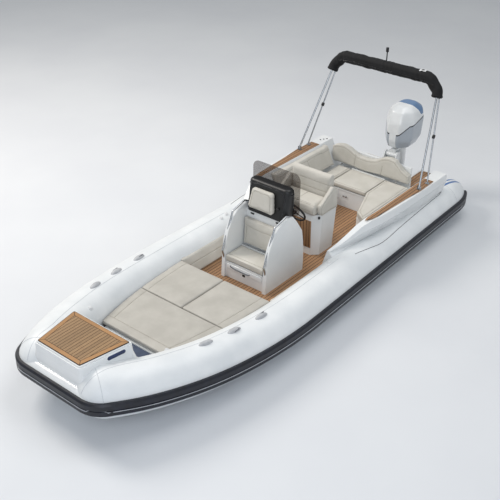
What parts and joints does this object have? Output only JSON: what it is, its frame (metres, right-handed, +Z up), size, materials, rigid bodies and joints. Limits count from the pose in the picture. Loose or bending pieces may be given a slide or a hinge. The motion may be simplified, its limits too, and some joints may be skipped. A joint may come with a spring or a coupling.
{
  "type": "rigid inflatable boat",
  "caption": "Rigid inflatable boat with white tubes, teak bow locker, sun deck, helm console, aft sofa, folded awning and tilting outboard engine.",
  "frame": {"origin": "on the centreline amidships at the level of the still water", "axes": "+X towards the bow, +Y to port, +Z up"},
  "size_m": [7.766, 2.8024, 3.235],
  "materials": {
    "tube_fabric": "satin",
    "white_gelcoat": "glossy",
    "bow_teak": "satin",
    "deck_teak": "matte",
    "strake_rubber": "satin",
    "grip_rubber": "satin",
    "cushion_vinyl": "matte",
    "stainless_steel": "polished",
    "smoked_acrylic": "glossy",
    "black_plastic": "matte",
    "awning_canvas": "matte",
    "engine_paint": "glossy",
    "engine_metal": "cast",
    "propeller_steel": "polished"
  },
  "bodies": {
    "boat": {"awning_feet": "stainless_steel", "binnacle": "black_plastic", "bow_moulding": "white_gelcoat", "clamp_bracket": "engine_paint", "coaming_teak": "deck_teak", "coamings": "white_gelcoat", "cockpit_sole": "deck_teak", "console": "white_gelcoat", "console_backrest": "cushion_vinyl", "console_rails": "stainless_steel", "foredeck_pad": "deck_teak", "headrest": "cushion_vinyl", "helm_arms": "cushion_vinyl", "helm_backrest": "cushion_vinyl", "helm_pedestal": "white_gelcoat", "helm_seat_cushion": "cushion_vinyl", "hull": "white_gelcoat", "mooring_cleats": "stainless_steel", "platform_teak": "deck_teak", "platforms": "white_gelcoat", "rub_rail_bow": "strake_rubber", "rub_rails": "strake_rubber", "side_linings": "cushion_vinyl", "sofa_base": "white_gelcoat", "steering_column": "black_plastic", "stern_backrest": "cushion_vinyl", "stern_bulkhead": "white_gelcoat", "stern_eyes": "stainless_steel", "sun_cushion_forward": "cushion_vinyl", "sun_cushion_port": "cushion_vinyl", "sun_cushion_starboard": "cushion_vinyl", "sundeck_base": "white_gelcoat", "transom": "white_gelcoat", "tube_handles": "grip_rubber", "tube_port": "tube_fabric", "tube_starboard": "tube_fabric", "windscreen": "smoked_acrylic", "wing_backrest": "cushion_vinyl", "wing_cushion_port": "cushion_vinyl", "wing_cushion_starboard": "cushion_vinyl"},
    "bow_lid": {"bow_locker_lid": "white_gelcoat", "bow_lid_teak": "bow_teak"},
    "console_seat": {"console_seat_lid": "white_gelcoat", "console_seat_cushion": "cushion_vinyl"},
    "bench": {"bench_lid": "white_gelcoat", "bench_cushion": "cushion_vinyl"},
    "helm_wheel": {"steering_wheel": "black_plastic"},
    "tilt_unit": {"swivel_bracket": "engine_paint"},
    "outboard": {"outboard_leg": "engine_paint", "outboard_gearcase": "engine_paint", "outboard_cowl": "engine_paint", "engine_block": "engine_metal"},
    "screw": {"propeller": "propeller_steel"},
    "awning": {"awning_hoop": "stainless_steel", "awning_boot": "awning_canvas", "awning_braces": "stainless_steel", "stern_light": "black_plastic"}
  },
  "joints": [
    {"name": "bow_lid_hinge", "type": "hinge", "parent": "boat", "child": "bow_lid", "pos_m": [3.434, 0, 0.898], "axis": [0, 1, 0], "range_deg": [0, 90]},
    {"name": "console_seat_hinge", "type": "hinge", "parent": "boat", "child": "console_seat", "pos_m": [-0.038, 0.03, 0.577], "axis": [0, -1, 0], "range_deg": [0, 80]},
    {"name": "bench_hinge", "type": "hinge", "parent": "boat", "child": "bench", "pos_m": [-2.984, -0.1125, 0.605], "axis": [0, -1, 0], "range_deg": [0, 70]},
    {"name": "steering_wheel_turn", "type": "hinge", "parent": "boat", "child": "helm_wheel", "pos_m": [-0.6, 0.17, 1.01], "axis": [-0.8829, 0, 0.4695], "range_deg": [-810, 810]},
    {"name": "outboard_tilt", "type": "hinge", "parent": "boat", "child": "tilt_unit", "pos_m": [-3.47, 0, 0.8], "axis": [0, 1, 0], "range_deg": [0, 60]},
    {"name": "outboard_steer", "type": "hinge", "parent": "tilt_unit", "child": "outboard", "pos_m": [-3.55, 0, 0.5], "axis": [0, 0, 1], "range_deg": [-30, 30]},
    {"name": "propeller_spin", "type": "hinge", "parent": "outboard", "child": "screw", "pos_m": [-4.118, 0, -0.34], "axis": [1, 0, 0], "continuous": true},
    {"name": "awning_fold", "type": "hinge", "parent": "boat", "child": "awning", "pos_m": [-2.425, 0, 0.975], "axis": [0, 1, 0], "range_deg": [0, 60]}
  ],
  "couplings": [
    {"joint": "steering_wheel_turn", "follows": "outboard_steer", "ratio": 27}
  ]
}
